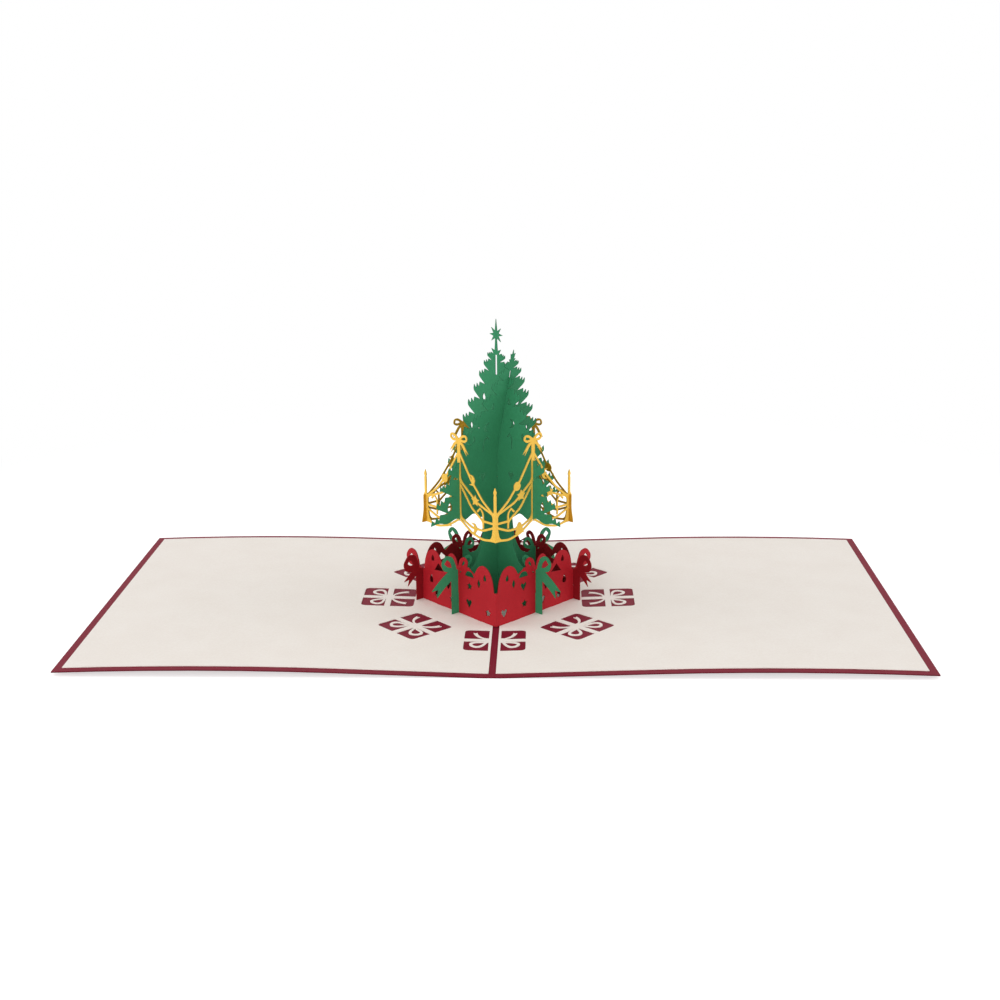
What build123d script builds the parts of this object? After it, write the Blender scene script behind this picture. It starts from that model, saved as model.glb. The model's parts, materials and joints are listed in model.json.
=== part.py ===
from build123d import *
from math import ceil, cos, hypot, pi, radians, sin, sqrt, tan
import os

# A square pop-up card, opened flat: a folded cover, two liners, and a slotted paper tree
# with a garland ring, standing in a gift box on the spine.
# The origin lies under the middle of the spine, +X runs along the right page, +Y to the
# back edge and +Z up. Lengths are in millimetres and angles in degrees.

# Card: each page rises in a straight ramp beside the spine, then arches down to its edge
page = 150.0
cover_t = 0.4
liner_t = 0.25
glue_t = 0.05
border = 3.0
spine_gap = 2.5
spine_flat = 1.75
ramp_len = 51.0
ramp_rise = 1.65
edge_rise = 1.4
crease_w = 0.8
crease_depth = 0.12

# Gifts cut in the liners
gift_ring = 42.0
gift_size = 20.0
gift_ribbon = 2.2
gift_loop_len = 7.8
gift_loop_w = 5.6
gift_loop_turn = 52.0
gift_tail_reach = 5.0
gift_tail_fall = 3.6
gift_tail_w = 1.4
spine_margin = 0.9

# Paper of the pop-up, the play in its slots and under its edges
sheet_t = 0.3
slot_play = 0.1
seat_gap = 0.05

# Tree
crown_bottom = 37.5
bottom_tip_half = 33.2
crown_bulge = 1.4
tiers = 11
needles = 3
notch_in = 2.3
notch_share = 0.12
needle_share = 0.3
bare_share = 0.3
hem_drop = 1.2
hem_lobe = 2.0
trunk_half = 7.6
flare_top = 32.0
flare_gap = 4.4
base_top = 16.2
tree_lap_z = 50.0
leader_half = 0.75
tree_motif = 3.0

# Star sheet
crown_top = 95.6
top_tip_half = 4.8
star_rise = 8.3
star_top_ray = 5.8
star_ray = 3.5
star_core = 1.45
sprig_half = 2.5
sprig_rise = 3.0
slit_drop = 6.6
slit_rise = 0.8
slit_w = 1.0

# Spire sheet, which leans off its upright above the garland poles
spire_rise = 3.9
spire_drop = 1.8
spire_tip_half = 3.6
spire_step = 2.0
lean_start = 1.4
lean_bend = 12.0
lean_angle = 13.1
lean_steps = 2

# Gift box
box_reach = 28.8
box_rim = 13.6
tall_gift_share = 0.275
tall_gift_rise = 9.4
small_gift_share = 0.216
small_gift_rise = 6.8
box_motif = 3.2
rim_gap = 0.9
gift_overlap = 1.3
box_lap_z = 9.0
corner_lap_z = 7.0
stem_w = 3.5
tab_at = 10.5
tab_len = 4.0

# Garland ring
ring_reach = 27.0
pole_w = 1.6
pole_low = 36.7
pole_top = 68.0
pole_lap_z = 52.0
candle_top = 53.0
candle_body_top = 43.2
candle_foot = 32.5
candle_foot_half = 2.1
candle_body_half = 1.25
candle_shaft_half = 0.6
candle_skirt = 4.8
flame_half = 0.8
flame_len = 2.6
candle_lap_z = 37.8

# Strands of the garland: width, seat on a candle, ends measured on the pole and the candle, and sags
strand_w = 0.8
strand_seat = 0.6
ornament = 4.4
top_strand_drop = 5.5
top_strand_sag = 2.6
star_strand_rise = 0.4
star_strand_sag = 1.8
cane_strand_drop = 1.0
cane_strand_end = 3.8
cane_strand_sag = 4.4
bell_strand_rise = 1.6
bell_strand_end = 5.2
bell_strand_sag = 2.8
foot_strand_rise = 0.6
foot_strand_sag = 2.6

# Bows: height of the knot, the open share of a wide and a narrow loop, length, width and rise of
# a loop, and reach, fall and width of a tail
bow_knot_z = 18.2
wide_opening = 0.44
narrow_opening = 0.3
tree_bow_len = 9.4
tree_bow_w = 6.6
tree_bow_rise = 44.0
tree_tail_reach = 11.0
tree_tail_fall = 6.4
tree_tail_w = 4.0
inner_bow_len = 7.6
inner_bow_w = 5.0
inner_bow_rise = 40.0
wall_bow_len = 7.8
wall_bow_w = 4.8
wall_bow_rise = 52.0
corner_bow_len = 9.0
corner_bow_w = 7.8
corner_bow_rise = 38.0
corner_tail_reach = 6.8
corner_tail_fall = 4.4
corner_tail_w = 2.8
pole_bow_len = 5.4
pole_bow_w = 3.2
pole_bow_rise = 14.0
pole_tail_reach = 5.0
pole_tail_fall = 5.0
pole_tail_w = 1.1

# Points on the round parts
loop_points = 7
hole_points = 5
curl_step = 4.0
strand_error = 0.49
flare_steps = 3

# Sizes worked out from those above
slot_w = sheet_t + 2 * slot_play
liner_low = cover_t + glue_t
liner_high = liner_low + liner_t
fold_x = spine_gap / 2 + spine_flat
ramp_x = fold_x + ramp_len
ramp_slope = ramp_rise / ramp_len
slant = hypot(1, ramp_slope)
arch_run = page - ramp_x
arch_fall = ramp_rise - edge_rise
arch_radius = (arch_run ** 2 + arch_fall ** 2) * slant / (2 * (arch_run * ramp_slope + arch_fall))
arch_x = ramp_x + arch_radius * ramp_slope / slant
arch_z = ramp_rise - arch_radius / slant
star_z = crown_top + star_rise
slit_low = crown_top - slit_drop
slit_high = crown_top + slit_rise
spire_top = crown_top + spire_rise
spire_crown_top = crown_top - spire_drop
box_mid = box_reach / sqrt(2)
tall_gift_half = tall_gift_share * box_mid
small_gift_half = small_gift_share * box_mid
ring_mid = ring_reach / sqrt(2)
stem_end = box_mid + stem_w
lean_from = pole_lap_z + lean_start
lean_radius = lean_bend / radians(lean_angle)


# Flat outlines

def polygon(points):
    """Face inside straight lines through the points."""
    return Face(Wire.make_polygon([Vector(*point) for point in points], close=True))


def panel(low, high):
    """Rectangle between two opposite corners."""
    return polygon([low, (high[0], low[1]), high, (low[0], high[1])])


def join(faces):
    """One outline made of overlapping faces."""
    return faces[0] + faces[1:]


def mirrored(points):
    """Outline points repeated on the other side of the vertical axis, in closing order."""
    return points + [(-x, y) for x, y in points[::-1] if x > 0]


def placed(points, centre, size):
    """Outline of unit size, scaled and moved to a centre."""
    return polygon([(centre[0] + x * size, centre[1] + y * size) for x, y in points])


def between(start, end, share):
    """Point at a share of the way from start to end."""
    return tuple(a + (b - a) * share for a, b in zip(start, end))


def polar(centre, angle, radius):
    """Point at an angle and a radius from a centre."""
    return (centre[0] + radius * cos(radians(angle)), centre[1] + radius * sin(radians(angle)))


def edges_of(path, width):
    """The two edges of a strip of even width along a path."""
    left = []
    right = []
    for i, (x, y) in enumerate(path):
        back = path[max(i - 1, 0)]
        ahead = path[min(i + 1, len(path) - 1)]
        run = hypot(ahead[0] - back[0], ahead[1] - back[1])
        across = ((back[1] - ahead[1]) / run, (ahead[0] - back[0]) / run)
        left.append((x + across[0] * width / 2, y + across[1] * width / 2))
        right.append((x - across[0] * width / 2, y - across[1] * width / 2))
    return left, right


def ribbon(path, width):
    """Strip of even width along a path."""
    left, right = edges_of(path, width)
    return polygon(left + right[::-1])


def streamer(path, width):
    """Ribbon tail with a notched end."""
    left, right = edges_of(path, width)
    notch = between(path[-1], path[-2], 0.5)
    return polygon(left + [notch] + right[::-1])


def curl(start, reach, fall):
    """Path of a ribbon tail that leaves its start level, then falls away."""
    bend = 1.6
    steps = ceil(abs(reach) / curl_step)
    shares = [i / steps for i in range(steps + 1)]
    return [(start[0] + reach * share, start[1] - fall * share ** bend) for share in shares]


def teardrop(tip, heading, length, width, count):
    """Ribbon loop with its point at the tip."""
    fullest = 0.77
    points = []
    for i in range(count):
        turn = 2 * pi * i / count
        along = polar(tip, heading, length * (1 - cos(turn)) / 2)
        points.append(polar(along, heading + 90, width / 2 * sin(turn) * sin(turn / 2) / fullest))
    return polygon(points)


def loop_hole(tip, heading, length, width, opening):
    """Opening inside a ribbon loop, over a share of its width."""
    stretch = 1.14
    tip_share = 0.68
    start = polar(tip, heading, tip_share * (1 - stretch * opening) * length)
    return teardrop(start, heading, stretch * opening * length, opening * width, hole_points)


def half_bow(knot, side, length, width, rise, opening, tail_reach, tail_fall, tail_w):
    """Loop and tail of a bow on one side of its knot."""
    heading = rise if side > 0 else 180 - rise
    loop = teardrop(knot, heading, length, width, loop_points)
    tail = streamer(curl(knot, side * tail_reach, tail_fall), tail_w)
    return join([loop, tail]) - loop_hole(knot, heading, length, width, opening)


# Ornaments, used solid on the garland and as holes in the tree and the box

def ball(centre, size):
    """Round bauble."""
    return polygon([polar(centre, 360 * i / loop_points, size / 2) for i in range(loop_points)])


def star(centre, size):
    """Five-pointed star."""
    points = []
    for angle in range(90, 450, 72):
        points.append(polar(centre, angle, size / 2))
        points.append(polar(centre, angle + 36, size / 4.2))
    return polygon(points)


def drop(centre, size):
    """Drop-shaped bauble, point up."""
    return placed(mirrored([(0, 0.6), (0.36, -0.05), (0.26, -0.5)]), centre, size)


def heart(centre, size):
    """Heart, point down."""
    return placed(mirrored([(0, 0.25), (0.28, 0.5), (0.5, 0.2), (0, -0.55)]), centre, size)


def bell(centre, size):
    """Hand bell."""
    return placed(mirrored([(0.14, 0.5), (0.3, 0.1), (0.5, -0.45)]), centre, size)


def half_moon(centre, size):
    """Opening under a small arch."""
    return placed(mirrored([(0, 0.24), (0.34, 0.14), (0.5, -0.22)]), centre, size)


def corner_gap(centre, size):
    """Three-cornered opening between two gifts."""
    return placed([(-0.5, -0.2), (0.5, -0.3), (0.05, 0.3)], centre, size)


def diamond(centre, size):
    """Upright diamond."""
    return placed(mirrored([(0, 0.6), (0.34, 0), (0, -0.6)]), centre, size)


def crescent(centre, size):
    """Crescent moon, open to the right."""
    outer = [polar((0, 0), angle, 0.5) for angle in range(60, 301, 60)]
    inner = [polar((0.22, 0), angle, 0.42) for angle in (220, 140)]
    return placed(outer + inner, centre, size)


def cane(centre, size):
    """Candy cane with its hook to the right, hung a third of the way up."""
    hook_radius = 0.2
    foot = (0, -0.35)
    hook = [polar((hook_radius, 0.4), angle, hook_radius) for angle in (180, 90, 0)]
    path = [(centre[0] + x * size, centre[1] + y * size) for x, y in [foot] + hook]
    return ribbon(path, hook_radius * size / 2)


# Sheets in space

def page_z(x, above):
    """Height at x of a paper layer that lies a distance above the cover's underside."""
    reach = abs(x)
    if reach > ramp_x:
        return arch_z + sqrt(arch_radius ** 2 - (reach - arch_x) ** 2) + above
    return ramp_slope * max(reach - fold_x, 0) + above


def foot_z(x):
    """Height at which a sheet stands on the liners at x."""
    return page_z(x, liner_high) + seat_gap


def upright(azimuth, distance):
    """Vertical plane whose outer side faces an azimuth, at a distance from the tree's axis."""
    out = (cos(radians(azimuth)), sin(radians(azimuth)), 0)
    along = (-out[1], out[0], 0)
    return Plane(origin=(out[0] * distance, out[1] * distance, 0), x_dir=along, z_dir=out)


def sheet(outline, plane):
    """Paper sheet with the plane as its middle layer."""
    return extrude(plane * outline, amount=sheet_t / 2, both=True)


def one_piece(shape):
    """The sheet itself, without chips that a slot cuts free at an edge."""
    return shape.solids().sort_by(SortBy.VOLUME)[-1]


def folded(right_outline, left_outline, distance):
    """Sheet folded at the front corner, its left wall drawn as the mirror of a right one."""
    right = sheet(right_outline, upright(-45, distance))
    left = mirror(sheet(left_outline, upright(-45, distance)), Plane.YZ)
    return one_piece(right + left)


# Cover and liners

def page_layer(start, end, low, high, depth):
    """Paper layer on the right page from x = start to x = end, between two layer heights."""
    middle = (ramp_x + end) / 2

    def at(x, above):
        return (x, page_z(x, above))

    edges = [
        Polyline(at(ramp_x, low), at(fold_x, low), at(start, low),
                 at(start, high), at(fold_x, high), at(ramp_x, high)),
        ThreePointArc(at(ramp_x, high), at(middle, high), at(end, high)),
        Line(at(end, high), at(end, low)),
        ThreePointArc(at(end, low), at(middle, low), at(ramp_x, low)),
    ]
    return extrude(Plane.XZ * make_face(edges), amount=depth / 2, both=True)


def make_cover():
    """Folded sheet with an arched page each side of a flat, scored spine."""
    right = page_layer(0, page, 0, cover_t, page)
    score = polygon([(-crease_w / 2, cover_t), (0, cover_t - crease_depth), (crease_w / 2, cover_t)])
    return right + mirror(right, Plane.YZ) - extrude(Plane.XZ * score, amount=page, both=True)


def gift_windows(azimuth, sides, cross_half):
    """Panes of a wrapped gift: the paper left between them is its ribbon, loops and tails."""
    half = gift_size / 2
    band = gift_ribbon / 2
    end = cross_half + half - band
    panes = []
    for side in sides:
        knot = (band / 2, side * (cross_half - gift_ribbon / 10))
        loop = teardrop(knot, side * gift_loop_turn, gift_loop_len, gift_loop_w, loop_points)
        panes += (panel((band, side * cross_half), (half, side * end)) - loop).faces()
        panes.append(loop_hole(knot, side * gift_loop_turn, gift_loop_len, gift_loop_w, wide_opening))
        tail = streamer(curl((-knot[0], knot[1]), -gift_tail_reach, -side * gift_tail_fall), gift_tail_w)
        panes += (panel((-half, side * cross_half), (-band, side * end)) - tail).faces()
    place = Pos(*polar((0, 0), azimuth, gift_ring)) * Rot(0, 0, azimuth)
    return [place * pane for pane in panes]


def tab_slots():
    """Slots in the right liner for the tabs of the two box walls that stand on it."""
    slot = Rectangle(slot_w, tab_len + 2 * slot_play)
    slots = []
    for azimuth in (-45, 45):
        wall = Pos(*polar((0, 0), azimuth, box_mid)) * Rot(0, 0, azimuth)
        slots += [wall * Pos(0, along) * slot for along in (-tab_at, tab_at)]
    return slots


def make_right_liner():
    """Ivory liner with gifts in a ring round the box, two of them shared with the left page."""
    blank = page_layer(spine_gap / 2, page - border, liner_low, liner_high, page - 2 * border)
    windows = tab_slots()
    for azimuth in (-45, 0, 45):
        windows += gift_windows(azimuth, (-1, 1), gift_ribbon / 2)
    for azimuth, side in ((-90, 1), (90, -1)):
        windows += gift_windows(azimuth, (side,), spine_gap / 2 + spine_margin)
    return blank - [extrude(window, amount=gift_size, both=True) for window in windows]


# Tree

def crown_half(share, top_half):
    """Half width over the branch tips, at a share of the crown's height from its top."""
    return top_half + (bottom_tip_half - top_half) * share + 4 * crown_bulge * share * (1 - share)


def branch_tips(top, top_half):
    """Branch tips from the top down, as half width, height and gap to the next tier."""
    first_step = 0.56
    step_growth = 0.18
    steps = [min(1, first_step + step_growth * i) for i in range(tiers - 1)]
    unit = (top - crown_bottom) / sum(steps)
    tips = []
    height = top
    for step in steps + [1]:
        share = (top - height) / (top - crown_bottom)
        tips.append((crown_half(share, top_half), height, unit * step))
        height -= unit * step
    return tips


def notch_under(tip):
    """Notch in the crown's edge below a branch tip."""
    half, height, gap = tip
    return (half - notch_in - notch_share * half, height - gap / 2)


def crown_side(top, top_half, start):
    """Right edge of the crown, from its top notch down to the lowest branch tip."""
    needle_lean = 0.72
    notch = start
    points = []
    for tip in branch_tips(top, top_half):
        points.append(notch)
        bare = between(notch, tip, bare_share)
        for i in range(needles):
            needle = between(bare, tip, (i + needle_lean) / needles)
            points.append((needle[0], needle[1] + tip[2] * needle_share))
            points.append(between(bare, tip, (i + 1) / needles))
        notch = notch_under(tip)
    return points


def crown_hem():
    """Lobed lower edge of the crown, from the lowest tip in to the trunk."""
    lobes = 3
    crotch_share = 0.45
    lobe_share = 0.9
    outer = (bottom_tip_half, crown_bottom)
    inner = (trunk_half, crown_bottom - hem_drop)
    points = []
    for i in range(lobes):
        crotch = between(outer, inner, (i + crotch_share) / lobes)
        lobe = between(outer, inner, (i + lobe_share) / lobes)
        points.append((crotch[0], crotch[1] + hem_lobe * (i + 1) / lobes))
        points.append((lobe[0], lobe[1] - hem_lobe / 4))
    return points + [inner]


def trunk_side():
    """Edge of the trunk, its flare, and the base that runs out through the box wall."""
    flare_run = box_mid - flare_gap - trunk_half
    flare_fall = flare_top - base_top
    points = []
    for i in range(flare_steps + 1):
        turn = pi / 2 * i / flare_steps
        points.append((trunk_half + flare_run * (1 - cos(turn)), flare_top - flare_fall * sin(turn)))
    points += [(box_mid - stem_w / 2, bow_knot_z), (box_mid + stem_w / 2, bow_knot_z)]
    points.append((stem_end, base_top))
    for reach in (stem_end, fold_x * sqrt(2), 0):
        points.append((reach, foot_z(reach / sqrt(2))))
    return points


def tree_outline(leader, top, top_half):
    """Tree on its base with half bows, under a leader given from the axis to the first notch."""
    side = leader + crown_side(top, top_half, leader[-1])[1:] + crown_hem() + trunk_side()
    faces = [polygon(mirrored(side))]
    for side in (-1, 1):
        outer = (side * (box_mid + stem_w / 4), bow_knot_z - stem_w / 4)
        faces.append(half_bow(outer, side, tree_bow_len, tree_bow_w, tree_bow_rise, wide_opening,
                              tree_tail_reach, tree_tail_fall, tree_tail_w))
        inner = (side * (box_mid - stem_w / 4), bow_knot_z - stem_w / 4)
        heading = 90 + side * (90 - inner_bow_rise)
        faces.append(teardrop(inner, heading, inner_bow_len, inner_bow_w, loop_points)
                     - loop_hole(inner, heading, inner_bow_len, inner_bow_w, wide_opening))
    return join(faces)


def tree_cuts(top, top_half):
    """Slots open upwards for box walls and garland poles, and ornaments cut in both arms."""
    motifs = [
        (drop, 0.73, 0.5, 0.8), (crescent, 0.59, 0.44, 1.25), (cane, 0.46, 0.38, 1.9),
        (heart, 0.25, 0.28, 1.0), (diamond, 0.52, 0.7, 0.8), (drop, 0.1, 0.78, 1.1),
    ]
    cuts = []
    for side in (-1, 1):
        for reach, low, high in ((box_mid, box_lap_z, crown_bottom), (ring_mid, pole_lap_z, top)):
            wall = side * reach
            cuts.append(panel((wall - slot_w / 2, low), (wall + slot_w / 2, high)))
        for motif, up, out, share in motifs:
            height = crown_bottom + up * (top - crown_bottom)
            cuts.append(motif((side * out * crown_half(1 - up, top_half), height), share * tree_motif))
    return cuts


def make_star_tree():
    """Flat tree sheet with a star, slotted from below for the spire sheet."""
    leader = [(0, star_z), (leader_half / 2, star_z - star_core),
              (leader_half, crown_top + 0.8 * sprig_rise), (sprig_half, crown_top + sprig_rise),
              (sprig_half / 2, crown_top + sprig_rise / 3)]
    ray_turn = 22.5
    rays = []
    for i in range(16):
        ray = star_top_ray if i * ray_turn == 90 else star_ray
        rays.append(polar((0, star_z), i * ray_turn, star_core if i % 2 else ray))
    outline = join([tree_outline(leader, crown_top, top_tip_half), polygon(rays)])
    cuts = tree_cuts(crown_top, top_tip_half)
    cuts.append(panel((-slot_w / 2, 0), (slot_w / 2, tree_lap_z + slot_play)))
    cuts.append(panel((-slit_w / 2, slit_low), (slit_w / 2, slit_high)))
    return one_piece(sheet(outline - cuts, upright(45, 0)))


def lean_side(shift):
    """One side of the leaning sheet's section: upright, then bent, then straight past its tip."""
    hub = (-lean_radius, lean_from)
    bend = [polar(hub, lean_angle * i / lean_steps, lean_radius + shift) for i in range(lean_steps + 1)]
    rise = (spire_top - lean_from) / cos(radians(lean_angle))
    return [(shift, 0)] + bend + [polar(bend[-1], 90 + lean_angle, rise)]


def lean_reach(height):
    """Distance that the leaning sheet has moved off its upright at a height above its bend."""
    turn = radians(lean_angle)
    above_bend = height - lean_from - lean_radius * sin(turn)
    return lean_radius * (1 - cos(turn)) + above_bend * tan(turn)


def lean_slot_top():
    """Height at which the leaning sheet comes clear of the star sheet's edge."""
    tips = branch_tips(crown_top, top_tip_half)
    for upper, tip in zip(tips, tips[1:]):
        if tip[0] + slot_play > lean_reach(tip[1]):
            return notch_under(upper)[1] + tip[2] * needle_share + slot_play


def make_spire_tree():
    """Tree sheet with a needle tip, slotted over the star sheet and leaning to its right."""
    leader = [(0, spire_top)]
    for i in (1, 2):
        leader.append((leader_half * i / 2, spire_top - spire_step * (i - 0.1 * i)))
        leader.append((leader_half * (1 + i / 2), spire_top - spire_step * (i - 0.3)))
    leader.append((1.3 * leader_half, spire_crown_top + spire_step / 2))
    cuts = tree_cuts(spire_crown_top, spire_tip_half)
    cuts.append(panel((-slot_w / 2, tree_lap_z - slot_play), (slot_w / 2, lean_slot_top())))
    outline = tree_outline(leader, spire_crown_top, spire_tip_half) - cuts
    section = polygon(lean_side(-sheet_t / 2) + lean_side(sheet_t / 2)[::-1])
    blank = extrude(upright(45, 0) * section, amount=2 * bottom_tip_half, both=True)
    return one_piece(blank & extrude(upright(-45, 0) * outline, amount=spire_top, both=True))


# Gift box

def wall_x(along):
    """X of a point on the right front wall, at a distance along it from its middle."""
    return (box_mid + along) / sqrt(2)


def wall_tab(along):
    """Tab that passes through the liner, on the lower edge of a box wall."""
    ends = (along - tab_len / 2, along + tab_len / 2)
    tops = [(end, foot_z(wall_x(end)) + tab_len / 4) for end in ends]
    lows = [(end, page_z(wall_x(end), cover_t) + seat_gap) for end in ends]
    return polygon(tops + lows[::-1])


def rim(side):
    """Top edge of half a box wall, from its corner in to its middle: two round gifts."""
    tall = box_mid - rim_gap - tall_gift_half
    small = tall - tall_gift_half - small_gift_half + gift_overlap
    points = []
    for angle in range(0, 151, 30):
        points.append((tall + tall_gift_half * cos(radians(angle)),
                       box_rim + tall_gift_rise * sin(radians(angle))))
    for angle in range(50, 151, 33):
        points.append((small + small_gift_half * cos(radians(angle)),
                       box_rim + small_gift_rise * sin(radians(angle))))
    return [(side * x, y) for x, y in points]


def box_motifs(first, second):
    """Ornaments cut in a box wall, placed by shares of its half length and of its rim's height."""
    motifs = [
        (drop, -0.72, 1.34, 0.75), (diamond, -0.56, 1.12, 0.94), (half_moon, -0.31, 1.31, 1.56),
        (second, -0.31, 0.96, 1.0), (second, -0.8, 0.37, 1.0), (first, -0.29, 0.46, 1.06),
        (second, 0.17, 0.4, 1.0), (first, 0.28, 0.78, 1.06), (corner_gap, 0.53, 1.2, 1.7),
        (drop, 0.7, 1.42, 0.75), (drop, 0.75, 0.8, 0.94), (drop, 0.6, 0.42, 0.94),
    ]
    return [motif((box_mid * along, box_rim * up), share * box_motif) for motif, along, up, share in motifs]


def box_wall(first, second, slot_from_top):
    """Outline of a wall with its fold at the left end and its crossing stem at the right."""
    left = -box_mid - sheet_t / 2
    foot = [(along, foot_z(wall_x(along))) for along in (left, fold_x * sqrt(2) - box_mid, stem_end)]
    faces = [polygon(foot + [(stem_end, box_rim + stem_w / 4)] + rim(1) + rim(-1)[::-1] + [(left, box_rim)])]
    faces += [wall_tab(-tab_at), wall_tab(tab_at)]
    cuts = box_motifs(first, second)
    faces.append(panel((-stem_w / 4, box_rim), (stem_w / 4, bow_knot_z)))
    for heading in (wall_bow_rise, 180 - wall_bow_rise):
        knot = (0, bow_knot_z - stem_w / 4)
        faces.append(teardrop(knot, heading, wall_bow_len, wall_bow_w, loop_points))
        cuts.append(loop_hole(knot, heading, wall_bow_len, wall_bow_w, narrow_opening))
    faces.append(half_bow((box_mid + stem_w / 2, box_rim), 1, corner_bow_len, corner_bow_w, corner_bow_rise,
                          narrow_opening, corner_tail_reach, corner_tail_fall, corner_tail_w))
    cuts.append(panel((-slot_w / 2, 0), (slot_w / 2, box_lap_z + slot_play)))
    slot = (corner_lap_z - slot_play, bow_knot_z) if slot_from_top else (0, corner_lap_z + slot_play)
    cuts.append(panel((box_mid - slot_w / 2, slot[0]), (box_mid + slot_w / 2, slot[1])))
    return join(faces) - cuts


def make_box_sheet(slot_from_top):
    """Two walls of the gift box, folded at the front corner."""
    return folded(box_wall(star, heart, slot_from_top), box_wall(heart, star, slot_from_top), box_mid)


# Garland ring

def strand_point(strand, share, side):
    """Point on a hanging strand, at a share of the way from the pole to the candle."""
    high, low, sag = strand
    start = pole_w / 3
    run = ring_mid - candle_body_half / 2 - start
    return (side * (start + run * share), high + (low - high) * share - 4 * sag * share * (1 - share))


def garland_half(side, chain):
    """Strands from the pole to one candle, with the ornaments that a chain hangs on them."""
    collar = candle_body_top - strand_seat
    strands = [
        (pole_top - top_strand_drop, collar, top_strand_sag),
        (pole_lap_z + star_strand_rise, collar, star_strand_sag),
        (pole_lap_z - cane_strand_drop, candle_body_top - cane_strand_end, cane_strand_sag),
        (pole_low + bell_strand_rise, candle_body_top - bell_strand_end, bell_strand_sag),
        (pole_low + foot_strand_rise, candle_foot + strand_seat, foot_strand_sag),
    ]
    faces = []
    for strand in strands:
        steps = ceil(sqrt(strand[2] / strand_error))
        path = [strand_point(strand, i / steps, side) for i in range(steps + 1)]
        faces.append(ribbon(path, strand_w))
    for hung, row, share, size in chain:
        faces.append(hung(strand_point(strands[row], share, side), size * ornament))
    return faces


def candle(axis, whole, lit):
    """Candle on the ring's corner: half of it at a fold, all of it where two sheets cross."""
    wick = candle_top - flame_len
    flame = [(0, candle_top), (flame_half, wick + flame_half), (flame_half / 2, wick)]
    shaft = [(candle_shaft_half, wick - candle_shaft_half),
             (candle_shaft_half, candle_body_top + candle_shaft_half)]
    body = [(candle_body_half, candle_body_top), (candle_body_half, candle_foot + candle_skirt),
            (candle_foot_half, candle_foot + candle_shaft_half), (candle_foot_half, candle_foot)]
    half = flame + shaft + body if lit else body
    if whole:
        points = mirrored(half)
    else:
        points = half + [(-sheet_t / 2, candle_foot), (-sheet_t / 2, candle_top)]
    return polygon([(axis + x, y) for x, y in points])


def garland_wall(left_chain, right_chain, lit):
    """Outline of a ring wall with its fold at the left end and its crossing candle at the right."""
    faces = [panel((-pole_w / 2, pole_low), (pole_w / 2, pole_top))]
    for side in (-1, 1):
        knot = (-side * pole_w / 4, pole_top - pole_w / 4)
        faces.append(half_bow(knot, side, pole_bow_len, pole_bow_w, pole_bow_rise, wide_opening,
                              pole_tail_reach, pole_tail_fall, pole_tail_w))
    faces += garland_half(-1, left_chain) + garland_half(1, right_chain)
    faces += [candle(-ring_mid, False, True), candle(ring_mid, True, lit)]
    slot = (0, candle_lap_z + slot_play) if lit else (candle_lap_z - slot_play, candle_top)
    return join(faces) - [
        panel((-slot_w / 2, 0), (slot_w / 2, pole_lap_z + slot_play)),
        panel((ring_mid - slot_w / 2, slot[0]), (ring_mid + slot_w / 2, slot[1])),
    ]


def make_garland_sheet(lit):
    """Two walls of the garland ring; the lit sheet's corner candles stand over the other's."""
    moons = [(crescent, 0, 0.33, 1.0), (star, 1, 0.45, 1.0), (cane, 2, 0.68, 1.73), (crescent, 3, 0.38, 1.0)]
    balls = [(ball, 0, 0.42, 0.82), (star, 1, 0.31, 1.0), (cane, 2, 0.68, 1.73), (bell, 3, 0.36, 1.0)]
    return folded(garland_wall(balls, moons, lit), garland_wall(moons, balls, lit), ring_mid)


# One file for each sheet
right_liner = make_right_liner()
half_turn = Rot(0, 0, 180)
parts = {
    "cover": make_cover(),
    "right_liner": right_liner,
    "left_liner": mirror(right_liner, Plane.YZ),
    "star_tree": make_star_tree(),
    "spire_tree": make_spire_tree(),
    "front_box": make_box_sheet(True),
    "back_box": half_turn * make_box_sheet(False),
    "front_garland": make_garland_sheet(True),
    "back_garland": half_turn * make_garland_sheet(False),
}
os.makedirs("parts", exist_ok=True)
for name, shape in parts.items():
    export_step(shape, f"parts/{name}.step")
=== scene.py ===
import json
import math

import bmesh
import bpy
from mathutils import Euler, Matrix, Vector


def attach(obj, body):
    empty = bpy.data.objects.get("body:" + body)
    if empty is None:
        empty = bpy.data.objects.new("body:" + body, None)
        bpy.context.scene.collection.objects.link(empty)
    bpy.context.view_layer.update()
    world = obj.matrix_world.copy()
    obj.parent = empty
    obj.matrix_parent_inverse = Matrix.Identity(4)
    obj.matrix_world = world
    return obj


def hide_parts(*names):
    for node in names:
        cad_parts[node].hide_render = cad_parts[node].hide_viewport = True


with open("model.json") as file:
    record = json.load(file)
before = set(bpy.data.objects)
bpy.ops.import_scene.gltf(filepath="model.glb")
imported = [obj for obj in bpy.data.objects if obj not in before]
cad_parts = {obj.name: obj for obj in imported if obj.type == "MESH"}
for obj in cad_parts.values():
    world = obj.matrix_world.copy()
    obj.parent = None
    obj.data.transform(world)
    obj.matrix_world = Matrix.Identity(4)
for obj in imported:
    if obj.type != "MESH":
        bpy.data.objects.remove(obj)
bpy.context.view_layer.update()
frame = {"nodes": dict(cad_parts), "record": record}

MM = 0.001

# Photograph's viewpoint: a 54 mm lens, a little above the open card
CAMERA_PLACE = (0.01753, -0.54233, 0.19847)
CAMERA_LENS = 53.86
CAMERA_SENSOR = 36.0
CAMERA_DIP = 16.197
CAMERA_YAW = 1.75
CAMERA_ROLL = -0.467

# Studio: fill from all round, how the floor lifts to white near the card and fades further off
WHITE = (1.0, 1.0, 1.0, 1.0)
FLOOR = (0.7, 0.7, 0.7, 1.0)
FILL = 0.64
FLOOR_LIFT = 0.6
FLOOR_FADE = (0.17, 0.34)
FLOOR_SIZE = 6.0
FLOOR_DROP = 0.02 * MM

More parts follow.
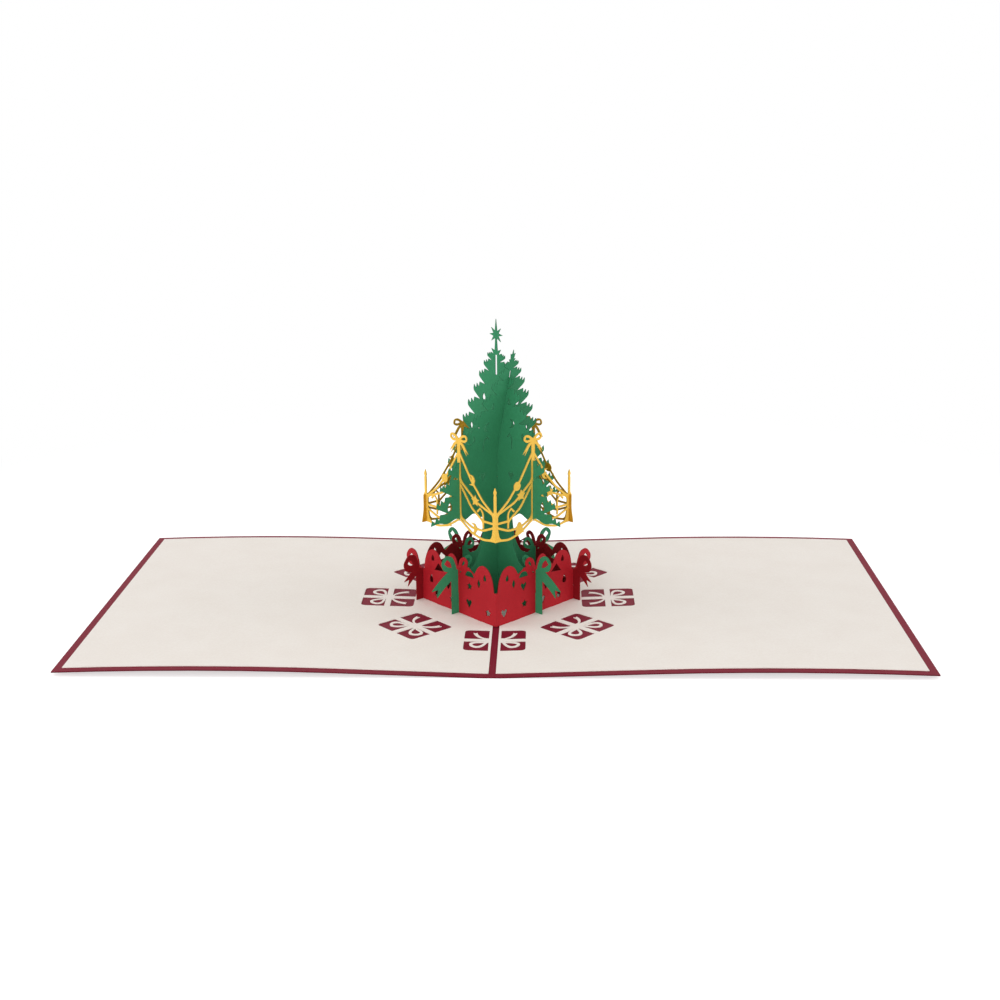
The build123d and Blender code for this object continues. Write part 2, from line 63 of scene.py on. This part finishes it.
# Softboxes: name, place, edge and watts. All face one point in the lower tree
LAMPS = (
    ("top_softbox", (-0.2, -0.3, 1.4), 1.8, 5.0),
    ("front_softbox", (-0.2, -1.5, 0.45), 1.2, 9.0),
    ("left_softbox", (-1.4, 0.1, 0.5), 1.0, 3.5),
    ("right_softbox", (1.4, 0.1, 0.5), 1.0, 3.5),
)
LAMP_AIM = Vector((0, 0, 0.04))

# Paper colours as sRGB bytes
BURGUNDY = (127, 17, 43)
BURGUNDY_DEEP = (113, 12, 36)
IVORY = (240, 234, 227)
IVORY_DEEP = (234, 226, 218)
GREEN = (56, 141, 98)
GREEN_DEEP = (48, 128, 87)
GOLD = (252, 206, 92)
GOLD_DEEP = (244, 192, 72)
# Back of the gold paper: painted shade, darker than its front though the paper is the same gold
# on both sides
GOLD_BACK_PAINTED_SHADE = (213, 154, 36)
GOLD_BACK_PAINTED_SHADE_DEEP = (195, 137, 27)
RED = (181, 28, 39)
RED_DEEP = (167, 22, 34)
RED_BACK = (141, 16, 26)
RED_BACK_DEEP = (122, 12, 21)

# Front and back of each paper, and how rough it is. The gold's back colour is painted shade: that
# paper is the same gold on both sides
FINISHES = {
    "burgundy_card": [(BURGUNDY, BURGUNDY_DEEP)] * 2,
    "ivory_paper": [(IVORY, IVORY_DEEP)] * 2,
    "green_paper": [(GREEN, GREEN_DEEP)] * 2,
    "gold_paper": [(GOLD, GOLD_DEEP), (GOLD_BACK_PAINTED_SHADE, GOLD_BACK_PAINTED_SHADE_DEEP)],
    "red_paper": [(RED, RED_DEEP), (RED_BACK, RED_BACK_DEEP)],
}
ROUGH = {
    "burgundy_card": 0.6,
    "ivory_paper": 0.75,
    "green_paper": 0.7,
    "gold_paper": 0.5,
    "red_paper": 0.6,
}

# How a cut edge differs from its face: laser-burnt in the dyed papers, bright in the ivory
EDGE_TONE = {
    "burgundy_card": 0.8,
    "ivory_paper": 1.05,
    "green_paper": 0.78,
    "gold_paper": 0.78,
    "red_paper": 0.78,
}
EDGE_ROUGH = 0.85

# Grain of the paper: clouds and flecks of the dye, tooth of the fibres, and how much each shows
CLOUDS = {"Scale": 70.0, "Detail": 3.0}
FLECKS = {"Scale": 1500.0, "Detail": 2.0}
TOOTH = {"Scale": 2600.0, "Detail": 3.0, "Roughness": 0.6}
CLOUD_SHARE = 0.4
DYE_RANGE = (0.3, 0.7)
ROUGH_SWING = 0.16
FIBRE = 0.04 * MM
FIBRE_STRENGTH = 0.35
SPECULAR = 0.2

# Colour sockets of a Mix node
MIX_FIRST, MIX_SECOND, MIX_RESULT = 6, 7, 2

# Sides of a sheet, which are also its material slots
FRONT, BACK, EDGE = 0, 1, 2

# Trees and walls stand at 45 degrees to the spine, so this much of their length runs along x or y
ROOT_HALF = math.sqrt(0.5)

# A face belongs to a side where it looks that way at least this much
FACING = 0.9

# Flat sheets are this thick until they are folded and take the solid's thickness
FLAT_THICKNESS = 1.0 * MM

# A corner of a cut outline that turns less than the limit is part of a curve. It's rounded over a
# share of the lines that meet there, and no further than the reach
STRAIGHT_TURN = math.radians(1.0)
CURVE_TURN = math.radians(75)
CURVE_SHARE = 0.48
CURVE_REACH = 1.6 * MM
CURVE_STEPS = 4

# Fold and bend lines: the change of slope that makes one, and the margin of flat paper beside it
BEND_SLOPE = 0.01
BEND_MARGIN = 0.8 * MM

# Decimals of a metre to which measured places are told apart, in a profile and in fold lines
PROFILE_DIGITS = 7
LINE_DIGITS = 5

# Points nearer than these are one point, and edges that turn more than these are sharp
SOLID_MERGE = 0.001 * MM
CUT_SNAP = 0.005 * MM
SHEET_MERGE = 0.0005 * MM
SHEET_SHARP = math.radians(30)
COVER_SHARP = math.radians(15)

# Gifts cut in the liners: their ring, half size, reach of their panes' middles, half ribbon,
# distance from the spine and corners
GIFT_RING = 42 * MM
GIFT_HALF = 10 * MM
GIFT_REACH = 14 * MM
RIBBON_HALF = 1.1 * MM
SPINE_EDGE = 2.15 * MM
GIFT_CORNER = 2.0 * MM

# Gifts of the right page: angle on the ring, sides of the ribbon and where the panes begin.
# The first and the last lie half on the left page
GIFTS = (
    (-90, (1,), SPINE_EDGE),
    (-45, (-1, 1), RIBBON_HALF),
    (0, (-1, 1), RIBBON_HALF),
    (45, (-1, 1), RIBBON_HALF),
    (90, (-1,), SPINE_EDGE),
)

# Loop of a gift's bow: heading, length, half width, rim, start of its opening, its neck, and how
# late and how far its drop shape widens
LOOP_HEADING = math.radians(54)
LOOP_ALONG = Vector((math.cos(LOOP_HEADING), math.sin(LOOP_HEADING), 0))
LOOP_ACROSS = Vector((LOOP_ALONG.y, -LOOP_ALONG.x, 0))
LOOP_LENGTH = 7.8 * MM
LOOP_HALF = 2.6 * MM
LOOP_RIM = 1.05 * MM
LOOP_START = 1.6 * MM
LOOP_STEPS = 28
NECK_TURN = math.radians(35)
NECK_LOW = 0.6 * MM
NECK_HIGH = 0.85 * MM
DROP_POWER = 1.5
DROP_BELLY = 0.7

# Tail of a gift's bow: where its curve starts, bends and ends, half its width, how narrow it is
# at the knot, and the notch in its end
TAIL_START = 0.16
TAIL_BEND = Vector((-1.5, 4.5, 0)) * MM
TAIL_END = Vector((-6.0, 5.1, 0)) * MM
TAIL_HALF = 0.7 * MM
TAIL_NARROW = 0.4
TAIL_NOTCH = 0.7 * MM
TAIL_STEPS = 10


def linear(colour):
    """Linear RGBA of an sRGB byte colour."""
    parts = []
    for byte in colour:
        share = byte / 255
        parts.append(share / 12.92 if share <= 0.04045 else ((share + 0.055) / 1.055) ** 2.4)
    return (*parts, 1.0)


class Flow:
    """A shader socket that takes part in Python sums."""

    def __init__(self, paint, socket):
        self.paint = paint
        self.socket = socket

    def maths(self, operation, first, second):
        """Result of a Math node."""
        return self.paint.node("ShaderNodeMath", {"operation": operation}, {0: first, 1: second})

    def __add__(self, other):
        return self.maths("ADD", self, other)

    def __radd__(self, other):
        return self.maths("ADD", other, self)

    def __mul__(self, other):
        return self.maths("MULTIPLY", self, other)

    def __rmul__(self, other):
        return self.maths("MULTIPLY", other, self)


class Paint:
    """A node tree whose nodes are added one call at a time."""

    def __init__(self, holder):
        self.holder = holder
        holder.use_nodes = True
        self.tree = holder.node_tree
        self.tree.nodes.clear()

    def node(self, kind, settings=None, sockets=None, out=0):
        """Add a node, set it up, feed its sockets and return one of its outputs."""
        made = self.tree.nodes.new(kind)
        for key, value in (settings or {}).items():
            setattr(made, key, value)
        self.feed(made, sockets or {})
        if made.outputs:
            return Flow(self, made.outputs[out])

    def feed(self, target, sockets):
        """Give a node's sockets their values or links."""
        for key, value in sockets.items():
            if isinstance(value, Flow):
                self.tree.links.new(value.socket, target.inputs[key])
            else:
                target.inputs[key].default_value = value

    def noise(self, grain):
        """Noise on the piece's own coordinates, from 0 to 1."""
        place = self.node("ShaderNodeTexCoord", out="Object")
        return self.node("ShaderNodeTexNoise", {}, {"Vector": place, **grain})

    def mix(self, share, first, second):
        """Colour between two colours."""
        sockets = {"Factor": share, MIX_FIRST: first, MIX_SECOND: second}
        return self.node("ShaderNodeMix", {"data_type": "RGBA"}, sockets, out=MIX_RESULT)


def paper(name, light, deep, rough):
    """Dyed paper: cloudy dye, fine fibres in colour and in relief."""
    paint = Paint(bpy.data.materials.new(name))
    clouds = paint.noise(CLOUDS)
    flecks = paint.noise(FLECKS)
    tooth = paint.noise(TOOTH)
    share = paint.node("ShaderNodeMapRange", {}, {
        "Value": CLOUD_SHARE * clouds + (1 - CLOUD_SHARE) * flecks,
        "From Min": DYE_RANGE[0],
        "From Max": DYE_RANGE[1],
    })
    relief = paint.node("ShaderNodeBump", {}, {
        "Strength": FIBRE_STRENGTH,
        "Distance": FIBRE,
        "Height": tooth,
    })
    sheet = paint.node("ShaderNodeBsdfPrincipled", {}, {
        "Base Color": paint.mix(share, linear(deep), linear(light)),
        "Roughness": rough - ROUGH_SWING / 2 + ROUGH_SWING * flecks,
        "Normal": relief,
        "Specular IOR Level": SPECULAR,
    })
    paint.node("ShaderNodeOutputMaterial", {}, {"Surface": sheet})
    return paint.holder


def toned(colour, share):
    """A byte colour brought to a share of itself."""
    return tuple(part * share for part in colour)


def finish(slot):
    """Front, back and cut edge of a paper, as three materials."""
    front, back = FINISHES[slot]
    edge = [toned(colour, EDGE_TONE[slot]) for colour in front]
    return [
        paper(slot + "_front", *front, ROUGH[slot]),
        paper(slot + "_back", *back, ROUGH[slot]),
        paper(slot + "_edge", *edge, EDGE_ROUGH),
    ]


def curve_point(start, bend, end, share):
    """Point at a share of a curve that leaves and reaches its ends towards the bend."""
    return start.lerp(bend, share).lerp(bend.lerp(end, share), share)


def round_corner(before, corner, after, reach):
    """Curve in the place of a corner, up to a reach along both of its lines."""
    start = corner + (before - corner).normalized() * reach
    end = corner + (after - corner).normalized() * reach
    shares = [step / CURVE_STEPS for step in range(CURVE_STEPS + 1)]
    return [curve_point(start, corner, end, share) for share in shares]


def drop_outline(tip, length, half, first, last):
    """Round end and narrow tip of a ribbon loop, as points between two turns round it."""
    points = []
    for step in range(LOOP_STEPS + 1):
        turn = first + (last - first) * step / LOOP_STEPS
        reach = length * (1 - math.cos(turn)) / 2
        belly = math.sin(turn) * math.sin(turn / 2) ** DROP_POWER / DROP_BELLY
        points.append(tip + LOOP_ALONG * reach + LOOP_ACROSS * (half * belly))
    return points


def loop_panes(near):
    """Outlines of a gift's pane round a loop and of the loop's opening."""
    far = near + GIFT_HALF - RIBBON_HALF
    knot = Vector((RIBBON_HALF, near, 0))
    low = Vector((GIFT_HALF, near, 0))
    top = Vector((RIBBON_HALF, far, 0))
    pane = drop_outline(knot, LOOP_LENGTH, LOOP_HALF, NECK_TURN, 2 * math.pi - NECK_TURN)
    pane += [knot + Vector((0, NECK_HIGH, 0)), top]
    pane += round_corner(top, Vector((GIFT_HALF, far, 0)), low, GIFT_CORNER)
    pane += [low, knot + Vector((NECK_LOW, 0, 0))]
    start = knot + LOOP_ALONG * LOOP_START
    length = LOOP_LENGTH - LOOP_START - LOOP_RIM
    opening = drop_outline(start, length, LOOP_HALF - LOOP_RIM, 0, 2 * math.pi)
    return [pane, opening[1:]]


def tail_pane(near):
    """Outline of a gift's pane round a slim curved tail."""
    far = near + GIFT_HALF - RIBBON_HALF
    knot = Vector((-RIBBON_HALF, near, 0))
    low = Vector((-GIFT_HALF, near, 0))
    top = Vector((-RIBBON_HALF, far, 0))
    bend = knot + TAIL_BEND
    end = knot + TAIL_END
    upper = []
    lower = []
    for step in range(TAIL_STEPS + 1):
        share = TAIL_START + (1 - TAIL_START) * step / TAIL_STEPS
        point = curve_point(knot, bend, end, share)
        ahead = (knot.lerp(bend, share) - bend.lerp(end, share)).normalized()
        width = TAIL_HALF * (TAIL_NARROW + (1 - TAIL_NARROW) * share)
        beside = Vector((-ahead.y, ahead.x, 0)) * width
        upper.append(point + beside)
        lower.append(point - beside)
    upper.append(end + (bend - end).normalized() * TAIL_NOTCH)
    pane = [knot + Vector((0, NECK_HIGH, 0))] + upper + lower[::-1]
    pane += [knot - Vector((NECK_HIGH, 0, 0)), low]
    pane += round_corner(low, Vector((-GIFT_HALF, far, 0)), top, GIFT_CORNER)
    return pane + [top]


def ring_turn(azimuth):
    """Turn that takes a gift round the ring."""
    return Matrix.Rotation(math.radians(azimuth), 3, "Z")


def gift_rings(page):
    """Outlines of all panes of the gifts on the right page, or mirrored on the left one."""
    rings = []
    for azimuth, sides, near in GIFTS:
        turn = ring_turn(azimuth)
        for side in sides:
            for ring in [*loop_panes(near), tail_pane(near)]:
                local = [Vector((GIFT_RING + point.x, side * point.y, 0)) for point in ring]
                placed = [turn @ point for point in local]
                rings.append([Vector((page * point.x, point.y, 0)) for point in placed])
    return rings


def profile(pairs):
    """Function that follows straight lines through measured pairs."""
    known = sorted({round(at, PROFILE_DIGITS): value for at, value in pairs}.items())

    def follow(at):
        if at <= known[0][0]:
            return known[0][1]
        for (low, low_value), (high, high_value) in zip(known, known[1:]):
            if at <= high:
                return low_value + (high_value - low_value) * (at - low) / (high - low)
        return known[-1][1]

    return follow


def bends(pairs):
    """Places at which a measured profile changes its slope."""
    known = sorted({round(at, LINE_DIGITS): value for at, value in pairs}.items())
    places = []
    for (a, a_value), (b, b_value), (c, c_value) in zip(known, known[1:], known[2:]):
        slope = (b_value - a_value) / (b - a)
        next_slope = (c_value - b_value) / (c - b)
        if abs(slope - next_slope) > BEND_SLOPE:
            places.append(b)
    return places


class SheetForm:
    """Way from a flat cut sheet to its place on the card.

    facing tells a sheet's front from its back, flat lays a point of the solid flat, measure reads
    the form off both sides, and fold takes a flat point to its place on one of them.
    """

    def redrawn(self, rings):
        """Outlines that the sheet is cut along."""
        return rings


class TreeForm(SheetForm):
    """Upright sheet through the tree's axis, which may lean off its plane higher up."""

    def __init__(self, node):
        side = 1 if node == "star_tree" else -1
        self.out = Vector((ROOT_HALF, side * ROOT_HALF, 0))
        self.along = Vector((-side * ROOT_HALF, ROOT_HALF, 0))

    def facing(self, face):
        return face.normal.dot(self.out)

    def flat(self, point):
        return Vector((point.dot(self.along), point.z, 0))

    def measure(self, sides):
        pairs = [[(point.z, point.dot(self.out)) for point in points] for points in sides]
        self.shift = [profile(pair) for pair in pairs]
        lines = bends(pairs[FRONT])
        if lines:
            lines = [lines[0] - BEND_MARGIN] + lines + [lines[-1] + BEND_MARGIN]
        self.lines = [(Vector((0, line, 0)), Vector((0, 1, 0))) for line in lines]

    def fold(self, point, side):
        lean = self.out * self.shift[side](point.y)
        return self.along * point.x + lean + Vector((0, 0, point.y))


class WallForm(SheetForm):
    """Two upright walls folded at the front or the back corner."""

    def __init__(self, node):
        self.end = -1 if node.startswith("front") else 1

    def facing(self, face):
        across = math.copysign(ROOT_HALF, face.calc_center_median().x)
        return face.normal.dot(Vector((across, self.end * ROOT_HALF, 0)))

    def flat(self, point):
        return Vector((point.x / ROOT_HALF, point.z, 0))

    def measure(self, sides):
        self.reach = []
        for points in sides:
            reaches = [self.end * point.y + abs(point.x) for point in points]
            self.reach.append(sum(reaches) / len(reaches))
        self.lines = [(Vector((0, 0, 0)), Vector((1, 0, 0)))]

    def fold(self, point, side):
        inset = (self.reach[FRONT] - self.reach[side]) / 2
        across = max(abs(point.x) * ROOT_HALF - inset, 0)
        depth = self.end * (self.reach[side] - across)
        return Vector((math.copysign(across, point.x), depth, point.y))


class PageForm(SheetForm):
    """Sheet that follows the rise and the arch of a page."""

    def __init__(self, node):
        self.page = -1 if node == "left_liner" else 1

    def facing(self, face):
        return face.normal.z

    def flat(self, point):
        return Vector((point.x, point.y, 0))

    def redrawn(self, rings):
        """Sheet's rim and tab slots as they are, with the gifts drawn finer."""
        start = Vector((self.page * GIFT_RING, 0, 0))
        centres = [ring_turn(azimuth) @ start for azimuth, sides, near in GIFTS]
        kept = []
        for ring in rings:
            middle = sum(ring, Vector()) / len(ring)
            if all((middle - centre).length > GIFT_REACH for centre in centres):
                kept.append(ring)
        return kept + gift_rings(self.page)

    def measure(self, sides):
        pairs = [[(point.x, point.z) for point in points] for points in sides]
        self.rise = [profile(pair) for pair in pairs]
        rim = max(point.y for point in sides[BACK]) - BEND_MARGIN
        places = sorted({round(point.x, LINE_DIGITS) for point in sides[BACK] if point.y > rim})
        self.lines = [(Vector((x, 0, 0)), Vector((1, 0, 0))) for x in places]

    def fold(self, point, side):
        return Vector((point.x, point.y, self.rise[side](point.x)))


FORMS = {
    "ivory_paper": PageForm,
    "green_paper": TreeForm,
    "gold_paper": WallForm,
    "red_paper": WallForm,
}


def solid_of(node):
    """Bmesh copy of a node's solid."""
    solid = bmesh.new()
    solid.from_mesh(frame["nodes"][node].data)
    bmesh.ops.remove_doubles(solid, verts=solid.verts, dist=SOLID_MERGE)
    solid.normal_update()
    return solid


def outlines(faces):
    """Closed outlines round a group of faces, in the faces' own turning sense."""
    inside = set(faces)
    ahead = {}
    for face in faces:
        for loop in face.loops:
            others = [other for other in loop.edge.link_faces if other is not face]
            if not any(other in inside for other in others):
                ahead[loop.vert] = loop.link_loop_next.vert
    rings = []
    while ahead:
        first, vert = ahead.popitem()
        ring = [first]
        while vert is not first:
            ring.append(vert)
            vert = ahead.pop(vert)
        rings.append([vert.co.copy() for vert in ring])
    return rings


def turn_at(before, point, after):
    """Angle by which an outline turns at a point."""
    return (point - before).angle(after - point, 0)


def straightened(ring):
    """Outline without the points that lie on its straight lines."""
    kept = list(ring)
    for i in range(len(ring) - 1, -1, -1):
        before, point, after = kept[i - 1], kept[i], kept[(i + 1) % len(kept)]
        if turn_at(before, point, after) < STRAIGHT_TURN:
            del kept[i]
    return kept


def rounded(ring):
    """Outline with its shallow corners turned into curves."""
    points = []
    for i, point in enumerate(ring):
        before, after = ring[i - 1], ring[(i + 1) % len(ring)]
        if turn_at(before, point, after) > CURVE_TURN:
            points.append(point)
            continue
        shorter = min((point - before).length, (after - point).length)
        points += round_corner(before, point, after, min(CURVE_SHARE * shorter, CURVE_REACH))
    return points


def cut_sheet(rings, lines):
    """Flat sheet inside outlines, split along its fold and bend lines."""
    flat = bmesh.new()
    for ring in rings:
        verts = [flat.verts.new(point) for point in ring]
        for a, b in zip(verts, verts[1:] + verts[:1]):
            flat.edges.new((a, b))
    bmesh.ops.triangle_fill(flat, use_beauty=True, use_dissolve=False,
                            edges=flat.edges[:], normal=(0, 0, 1))
    for place, across in lines:
        bmesh.ops.bisect_plane(flat, geom=flat.verts[:] + flat.edges[:] + flat.faces[:],
                               dist=CUT_SNAP, plane_co=place, plane_no=across)
    return flat


def put(sheet, node, materials):
    """Turn a bmesh into the piece that stands for a node."""
    name = node + "_paper"
    mesh = bpy.data.meshes.new(name)
    sheet.to_mesh(mesh)
    sheet.free()
    for material in materials:
        mesh.materials.append(material)
    piece = bpy.data.objects.new(name, mesh)
    bpy.context.scene.collection.objects.link(piece)
    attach(piece, "root")
    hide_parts(node)


def folded_sheet(node, materials, form):
    """Paper sheet cut flat along the solid's outlines, curves smooth, then folded into place."""
    solid = solid_of(node)
    front = [face for face in solid.faces if form.facing(face) > FACING]
    back = [face for face in solid.faces if form.facing(face) < -FACING]
    form.measure([[vert.co.copy() for face in faces for vert in face.verts]
                  for faces in (front, back)])
    flat_rings = [[form.flat(point) for point in ring] for ring in outlines(front)]
    solid.free()
    rings = [rounded(straightened(ring)) for ring in flat_rings]
    sheet = cut_sheet(form.redrawn(rings), form.lines)
    bmesh.ops.solidify(sheet, geom=sheet.faces[:], thickness=FLAT_THICKNESS)
    sides = {vert: FRONT if abs(vert.co.z) < FLAT_THICKNESS / 2 else BACK for vert in sheet.verts}
    for face in sheet.faces:
        reached = {sides[vert] for vert in face.verts}
        face.material_index = reached.pop() if len(reached) == 1 else EDGE
        face.smooth = True
    for vert, side in sides.items():
        vert.co = form.fold(vert.co, side)
    bmesh.ops.remove_doubles(sheet, verts=sheet.verts, dist=SHEET_MERGE)
    bmesh.ops.recalc_face_normals(sheet, faces=sheet.faces)
    for edge in sheet.edges:
        edge.smooth = edge.calc_face_angle(0) < SHEET_SHARP
    put(sheet, node, materials)


def cover_sheet(node, materials):
    """Cover with smooth arches, as it is in the solid."""
    sheet = solid_of(node)
    for face in sheet.faces:
        face.smooth = True
        face.material_index = FRONT if abs(face.normal.z) > FACING else EDGE
    for edge in sheet.edges:
        edge.smooth = edge.calc_face_angle(0) < COVER_SHARP
    put(sheet, node, materials)


def in_sight(paint):
    """1 where the camera sees the place, in a reflection or through glass too, and else 0."""
    rays = ("Is Camera Ray", "Is Glossy Ray", "Is Transmission Ray")
    camera, glossy, through = [paint.node("ShaderNodeLightPath", out=ray) for ray in rays]
    return camera.maths("MAXIMUM", camera, camera.maths("MAXIMUM", glossy, through))


def white_world():
    """Even studio light, white where the camera or a reflection sees it."""
    paint = Paint(bpy.data.worlds.new("studio"))
    bpy.context.scene.world = paint.holder
    strength = FILL + (1 - FILL) * in_sight(paint)
    light = paint.node("ShaderNodeBackground", {}, {"Color": WHITE, "Strength": strength})
    paint.node("ShaderNodeOutputWorld", {}, {"Surface": light})


def floor_white():
    """White of the floor: it keeps the card's shadow and fades to white away from it."""
    paint = Paint(bpy.data.materials.new("floor_white"))
    place = paint.node("ShaderNodeTexCoord", out="Object")
    reach = paint.node("ShaderNodeVectorMath", {"operation": "LENGTH"}, {0: place}, out="Value")
    far = paint.node("ShaderNodeMapRange", {"interpolation_type": "SMOOTHSTEP"}, {
        "Value": reach,
        "From Min": FLOOR_FADE[0],
        "From Max": FLOOR_FADE[1],
    })
    seen = in_sight(paint)
    matt = paint.node("ShaderNodeBsdfDiffuse", {}, {"Color": FLOOR})
    lift = paint.node("ShaderNodeEmission", {}, {"Color": WHITE, "Strength": seen * FLOOR_LIFT})
    near = paint.node("ShaderNodeAddShader", {}, {0: matt, 1: lift})
    white = paint.node("ShaderNodeEmission", {}, {"Color": WHITE, "Strength": 1.0})
    both = paint.node("ShaderNodeMixShader", {}, {0: far * seen, 1: near, 2: white})
    paint.node("ShaderNodeOutputMaterial", {}, {"Surface": both})
    return paint.holder


def lay_floor():
    """Plain floor just under the card."""
    floor = bmesh.new()
    bmesh.ops.create_grid(floor, x_segments=1, y_segments=1, size=FLOOR_SIZE)
    bmesh.ops.translate(floor, verts=floor.verts, vec=(0, 0, -FLOOR_DROP))
    mesh = bpy.data.meshes.new("floor")
    floor.to_mesh(mesh)
    floor.free()
    mesh.materials.append(floor_white())
    piece = bpy.data.objects.new("floor", mesh)
    bpy.context.scene.collection.objects.link(piece)


def softbox(name, place, size, watts):
    """Square lamp that faces the lower tree."""
    lamp = bpy.data.lights.new(name, "AREA")
    lamp.shape = "SQUARE"
    lamp.size = size
    lamp.energy = watts
    holder = bpy.data.objects.new(name, lamp)
    holder.location = place
    holder.rotation_euler = (LAMP_AIM - Vector(place)).to_track_quat("-Z", "Y").to_euler()
    bpy.context.scene.collection.objects.link(holder)


def photograph_camera():
    """Camera at the photograph's viewpoint."""
    lens = bpy.data.cameras.new("photograph")
    lens.sensor_width = CAMERA_SENSOR
    lens.lens = CAMERA_LENS
    camera = bpy.data.objects.new("photograph", lens)
    camera.location = CAMERA_PLACE
    tilt = Euler((math.radians(90 - CAMERA_DIP), 0, math.radians(CAMERA_YAW)), "XYZ").to_matrix()
    roll = Matrix.Rotation(math.radians(CAMERA_ROLL), 3, "Z")
    camera.rotation_euler = (tilt @ roll).to_euler()
    bpy.context.scene.collection.objects.link(camera)
    bpy.context.scene.camera = camera


papers = {slot: finish(slot) for slot in FINISHES}
for entry in frame["record"]["subparts"]:
    node = entry["node"]
    slot = entry["material_slot"]
    if slot in FORMS:
        folded_sheet(node, papers[slot], FORMS[slot](node))
    else:
        cover_sheet(node, papers[slot])

white_world()
lay_floor()
for lamp in LAMPS:
    softbox(*lamp)
photograph_camera()
bpy.context.scene.view_settings.view_transform = "Standard"
